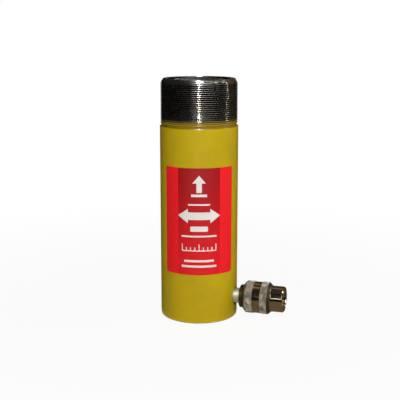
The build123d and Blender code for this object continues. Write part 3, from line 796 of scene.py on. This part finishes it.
# %% [markdown]
# ## Coupler collar
# The collar is turned from bar. Its two bands are knurled, so that a hand can spin it, with a
# smooth waist between them and a smooth nose in front. The core is spun lying on Z and then
# laid along the port's axis, and the bands are separate rings that sit on it.

# %% Core of the collar
WAIST_RADIUS = BAND_RADIUS - 0.3 * MM
NOSE_RADIUS = 9.55 * MM
UNION_RADIUS = mounts["hose_union"]["dims"]["r_mm"] * MM
UNION_END_X = COLLAR_FRONT_X - 12 * MM
BED_RADIUS = BAND_RADIUS - KNURL_DEPTH - 0.04 * MM
SLIDE_RADIUS = 8.05 * MM
SLIDE_END_X = COLLAR_REAR_X + 7.1 * MM
RELIEF_RADIUS = 8.6 * MM
REAR_RADIUS = 8.7 * MM


def along_port(bm):
    return placed(bm, (0, 0, PORT_Z), (1, 0, 0))


collar_core = turned([
    (SLIDE_RADIUS, COLLAR_REAR_X),
    (REAR_RADIUS, COLLAR_REAR_X),
    (BED_RADIUS, REAR_BAND[0] - 0.3 * MM),
    (BED_RADIUS, REAR_BAND[1] - 0.35 * MM),
    (WAIST_RADIUS, REAR_BAND[1] - 0.3 * MM),
    (WAIST_RADIUS, FRONT_BAND[0] + 0.3 * MM),
    (BED_RADIUS, FRONT_BAND[0] + 0.35 * MM),
    (BED_RADIUS, FRONT_BAND[1] + 0.3 * MM),
    (NOSE_RADIUS, NOSE_X),
    (NOSE_RADIUS, COLLAR_FRONT_X - 0.8 * MM),
    (NOSE_RADIUS - 0.8 * MM, COLLAR_FRONT_X),
    (UNION_RADIUS + 0.4 * MM, COLLAR_FRONT_X),
    (UNION_RADIUS, COLLAR_FRONT_X - 0.4 * MM),
    (UNION_RADIUS, UNION_END_X),
    (RELIEF_RADIUS, UNION_END_X),
    (RELIEF_RADIUS, SLIDE_END_X),
    (SLIDE_RADIUS, SLIDE_END_X),
], 128)
core = along_port(soften(collar_core, 0.15 * MM, 12))
piece("collar_core", core, "collar_body", collar_plating, ["coupler_collar"])

# %% [markdown]
# The hose half of the coupler screws into the nose. Its thread is the same kind of ridge as the
# barrel's, but it stands inwards, so its crest is nearer to the axis than its root.

# %% Thread in the nose
union_thread = along_port(wound_ridge(
    root=UNION_RADIUS, crest=UNION_RADIUS - 0.7 * MM, pitch=1.5 * MM, turns=7,
    start=UNION_END_X + 0.6 * MM, steps=64,
))
piece("union_thread", union_thread, "collar_body", plated, sharper_than=70)

# %% [markdown]
# A knurl is two sets of slanting grooves that cross and leave small diamonds. A ring of square
# faces is made, poked so that every face has a centre point, and then each point of the outer
# skin is lowered by its distance to the nearest groove. The grooves fall on edges of the mesh,
# so the diamonds stay crisp with few faces.

# %% Knurled bands
DIAMONDS = 40
KNURL_PITCH = 2.4 * MM


def knurled_ring(first_x, last_x):
    rows = round((last_x - first_x) / KNURL_PITCH * 4)
    row_step = (last_x - first_x) / rows
    skin = [(BAND_RADIUS, first_x + row_step * i) for i in range(rows + 1)]
    core = BED_RADIUS - 0.2 * MM
    bm = turned(skin + [(core, last_x), (core, first_x)], DIAMONDS * 4)
    on_skin = {v for v in bm.verts if hypot(v.co.x, v.co.y) > BAND_RADIUS - 0.1 * MM}
    bmesh.ops.poke(bm, faces=[f for f in bm.faces if on_skin.issuperset(f.verts)])
    for vert in bm.verts:
        radius = hypot(vert.co.x, vert.co.y)
        if radius < core + 0.05 * MM:
            continue
        around_ring = atan2(vert.co.y, vert.co.x) / tau * DIAMONDS
        along_ring = (vert.co.z - first_x) / row_step / 4
        slants = (around_ring + along_ring, around_ring - along_ring)
        from_groove = min(1 - abs(slant % 1 - 0.5) * 2 for slant in slants)
        at_edge = min(vert.co.z - first_x, last_x - vert.co.z) < row_step / 4
        raised = 0 if at_edge else min(from_groove, 0.5) * 2
        move_out(vert, radius, BAND_RADIUS - KNURL_DEPTH * (1 - raised))
    bmesh.ops.recalc_face_normals(bm, faces=bm.faces)
    return along_port(bm)


for name, band in (("knurl_rear", REAR_BAND), ("knurl_front", FRONT_BAND)):
    piece(name, knurled_ring(*band), "collar_body", knurl_plating, sharper_than=14)

# %% [markdown]
# ## Springs
# A coil spring is a round section wound up a helix, which spin with a dvec also makes. Each
# spring has its fixed end on one body and its moving end on another; here it is wound in
# place and left on neither.

# %% Wind the springs
def coil(radius, wire_radius, low, high, turns, steps=32):
    bm = bmesh.new()
    bmesh.ops.create_circle(bm, cap_ends=False, segments=10, radius=wire_radius)
    bm.transform(Matrix.Rotation(pi / 2, 4, "X"))
    bm.transform(Matrix.Translation((radius, 0, low + wire_radius)))
    return wound(bm, (high - low - 2 * wire_radius) / turns, turns, steps)


spring_low, spring_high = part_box("return_spring")
main_coil = coil(
    radius=10.2 * MM, wire_radius=1.6 * MM, low=spring_low.z, high=spring_high.z, turns=26
)
main_spring = piece(
    "wound_return_spring", main_coil, None, wire, ["return_spring"], 60
)
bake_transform(main_spring)

valve_low, valve_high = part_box("poppet_spring")
valve_coil = along_port(coil(
    radius=3.2 * MM, wire_radius=0.4 * MM, low=valve_low.x, high=valve_high.x, turns=4, steps=24
))
valve_spring = piece(
    "wound_poppet_spring", valve_coil, None, wire, ["poppet_spring"], 60
)
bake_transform(valve_spring)

# %% [markdown]
# ## Pieces whose CAD shape is right
# The other pieces only need soft edges and a finish. A copy of the CAD mesh is merged, its flat
# triangles are joined into larger faces, and its sharp edges are bevelled by a little. The CAD
# piece itself is never changed, only replaced.

# %% Dress the remaining nodes
def dressed_copy(node):
    bm = bmesh.new()
    bm.from_mesh(frame["nodes"][node].data)
    for edge in bm.edges:
        edge.smooth = True
    bmesh.ops.remove_doubles(bm, verts=bm.verts, dist=2e-7)
    bmesh.ops.dissolve_limit(
        bm, angle_limit=radians(1), verts=bm.verts, edges=bm.edges,
        use_dissolve_boundaries=False, delimit={"NORMAL"},
    )
    return bm


body_lists = frame["record"]["behaviour"]["bodies"]
bodies = {node: body for body, nodes in body_lists.items() for node in nodes}
dressed = {
    "stop_ring": (machined, 0.2),
    "saddle": (blackened, 0.2),
    "plunger": (chrome, 0.15),
    "coupler_body": (body_plating, 0.12),
    "valve_seat": (plated, 0.08),
    "poppet": (machined, 0.08),
    "seal_washer": (machined, 0.08),
    "spring_base_anchor": (machined, 0.2),
    "spring_plunger_anchor": (machined, 0.2),
}
for node, (material, edge) in dressed.items():
    bm = soften(dressed_copy(node), edge * MM, 28)
    piece("dressed_" + node, bm, bodies[node], material, [node])

# %% [markdown]
# Seals and small rings are round and plain, and hardly seen. They keep their CAD shape and only
# take a material.

# %% Finish the seals and rings
kept = {
    "wiper": rubber,
    "piston_seal": rubber,
    "coupler_face_seal": rubber,
    "backup_ring": ptfe,
    "piston_bearing": bronze,
    "piston_snap_ring": wire,
    "poppet_guide": plated,
    "collar_retaining_ring": wire,
}
for node, material in kept.items():
    frame["nodes"][node].data.materials.clear()
    frame["nodes"][node].data.materials.append(material)
print("nodes dressed:", len(dressed), "and kept with a new finish:", len(kept))

# %% [markdown]
# ## Stage
# The floor is white and seamless, like a roll of paper. Near the ram it takes a soft shadow,
# and farther out it turns into pure white, so there is no horizon. More light would whiten it
# too, but it would also wash out the ram.

# %% Floor
FLOOR_HALF = 6
FLOOR_GLOW = 0.93
WHITE_FROM, WHITE_TO = 0.1, 0.45
WHITE = (1, 1, 1, 1)


def seen_by_eye(s):
    """1 for rays that show a surface, straight or in metal or glass, and 0 for its light."""
    kinds = ("Is Camera Ray", "Is Glossy Ray", "Is Transmission Ray")
    rays = [s.node("LightPath", output=kind) for kind in kinds]
    return rays[0].bigger(rays[1]).bigger(rays[2])


floor_mesh = bmesh.new()
bmesh.ops.create_grid(floor_mesh, x_segments=1, y_segments=1, size=FLOOR_HALF)
floor_piece = loose_object("floor", floor_mesh)
floor_material, s = new_material("white_floor")
from_ram = s.place("X").reach(s.place("Y"))
glow = s.node("Emission", values={"Color": WHITE, "Strength": 1.0})
matte = s.node("BsdfDiffuse", values={"Color": paint(235, 233, 230)})
share = seen_by_eye(s) * (FLOOR_GLOW + s.step(from_ram, WHITE_FROM, WHITE_TO) * (1 - FLOOR_GLOW))
mixed = s.node("MixShader", values={0: share, 1: matte, 2: glow})
s.tree.links.new(mixed.socket, s.surface)
floor_piece.data.materials.append(floor_material)
print("floor is", 2 * FLOOR_HALF, "m across")

# %% [markdown]
# The world stands for the rest of the studio. It is white to the camera and in reflections, and
# a dark grey for the light that it gives, so the lamps shape the ram and shadows stay soft.

# %% World
WORLD_LIGHT = 0.16

world = bpy.data.worlds.new("studio")
bpy.context.scene.world = world
s = Shader(world, "ShaderNodeOutputWorld")
tone = s.blend(seen_by_eye(s), (WORLD_LIGHT, WORLD_LIGHT, WORLD_LIGHT, 1), WHITE)
sky = s.node("Background", values={"Color": tone, "Strength": 1.0})
s.tree.links.new(sky.socket, s.surface)
print("the world lights the ram at", WORLD_LIGHT)

# %% [markdown]
# ## Lights
# The photograph was lit by a tall strip light close to the camera, a larger light to the right
# of it, a weaker one farther round and a narrow one at the far right edge. Soft light from one
# large lamp would be simpler, but it leaves the paint flat. These lamps light the paint, and
# only the small high one is seen in reflections, as a glint on the rim.

# %% Lamps
MIDDLE = (0, 0, 0.1)
RIM_CENTRE = (0, 0, 0.17)


def lamp(name, spot, size, power, target=MIDDLE, colour=(1, 1, 1), in_metal=False):
    """A flat rectangular lamp that points at a target; its size is (width, height)."""
    data = bpy.data.lights.new(name, "AREA")
    data.shape = "RECTANGLE"
    data.size, data.size_y = size
    data.energy = power
    data.color = colour
    made = bpy.data.objects.new(name, data)
    made.location = spot
    made.rotation_euler = (Vector(target) - spot).to_track_quat("-Z", "Y").to_euler()
    made.visible_camera = False
    made.visible_glossy = in_metal
    bpy.context.scene.collection.objects.link(made)


WARM = (1, 0.97, 0.92)
WARM_EDGE = (1, 0.97, 0.93)
lamp("strip", around(-1, 0.8, 0.42), (0.06, 0.5), 3.4)
lamp("key", around(30, 0.9, 0.62), (0.4, 0.4), 1.55, colour=WARM)
lamp("side", around(65, 0.9, 0.4), (0.4, 0.4), 0.5)
lamp("edge_strip", around(93, 0.75, 0.38), (0.012, 0.4), 0.8, colour=WARM_EDGE)
lamp("high_spot", around(66, 0.6, 0.83), (0.09, 0.09), 0.25, target=RIM_CENTRE, in_metal=True)
print("lamps:", len(bpy.data.lights))

# %% [markdown]
# Polished metal shows the room around it, so photographers stand cards about it. These are
# seen by reflections alone, and light nothing else. Dark walls, ground and ceiling keep the
# steel dark, and brown ones on the right warm the coupler. A bright strip draws the line down
# the middle of the thread, a narrow one at the right draws the dotted line, soft ones beside
# the strip show the turns, and a low one draws the line along the coupler's nose.

# %% Cards
def card(name, first, last, start, end, tone, strength=1.0):
    """A card swept between two azimuths, from one (distance, height) to another."""
    bm = bmesh.new()
    corners = [bm.verts.new(around(first, *place)) for place in (start, end)]
    bmesh.ops.spin(
        bm, geom=corners + [bm.edges.new(corners)], cent=(0, 0, 0), axis=(0, 0, 1),
        angle=radians(last - first), steps=24, use_merge=False,
    )
    made = loose_object(name, bm)
    material, s = new_material(name)
    glow = s.node("Emission", values={"Color": paint(*tone), "Strength": strength})
    s.tree.links.new(glow.socket, s.surface)
    made.data.materials.append(material)
    for ray in ("camera", "diffuse", "transmission", "shadow"):
        setattr(made, "visible_" + ray, False)


BRIGHT, SOFT = 0.75, 1.0
STRIP = ((BRIGHT, 0.4), (BRIGHT, 1.0))
EDGE = ((BRIGHT, 0.2), (BRIGHT, 0.55))
NOSE = ((0.8, 0.262), (0.8, 0.292))
GLOW = ((SOFT, 0.4), (SOFT, 1.05))
card("strip_card", -4.5, 2, *STRIP, (255, 255, 255), 115)
card("edge_card", 91.8, 92.8, *EDGE, (255, 250, 240), 75)
card("nose_card", -24.5, -22.2, *NOSE, (255, 255, 250), 8)
card("left_glow_card", -22, -6, *GLOW, (255, 255, 255), 3.2)
card("right_glow_card", 2, 18, *GLOW, (255, 252, 246), 6)
card("far_glow_card", 18, 46, *GLOW, (255, 250, 240), 3)

FAR, TOP = 1.1, 2.2
WALL = ((FAR, 0), (FAR, TOP))
card("left_card", -178, -4, *WALL, (28, 28, 28))
card("right_card", -4, 44, *WALL, (100, 98, 92))
card("far_right_card", 44, 88, *WALL, (72, 69, 62))
card("tan_card", 97, 126, *WALL, (136, 114, 88))
card("brown_card", 126, 180, *WALL, (84, 68, 54))

NEAR_GROUND = ((0.03, MM), (0.12, MM))
FAR_GROUND = ((0.12, MM), (FAR, MM))
CEILING = ((0.27, TOP), (FAR, TOP))
card("near_ground_card", -88, 88, *NEAR_GROUND, (126, 112, 92))
card("back_ground_card", 88, 272, *NEAR_GROUND, (58, 50, 38))
card("far_ground_card", 0, 360, *FAR_GROUND, (40, 38, 34))
card("ceiling_card", 0, 360, *CEILING, (62, 60, 54))

# %% [markdown]
# Standard shows a colour as it is written.

# %% Finish
bpy.context.scene.view_settings.view_transform = "Standard"
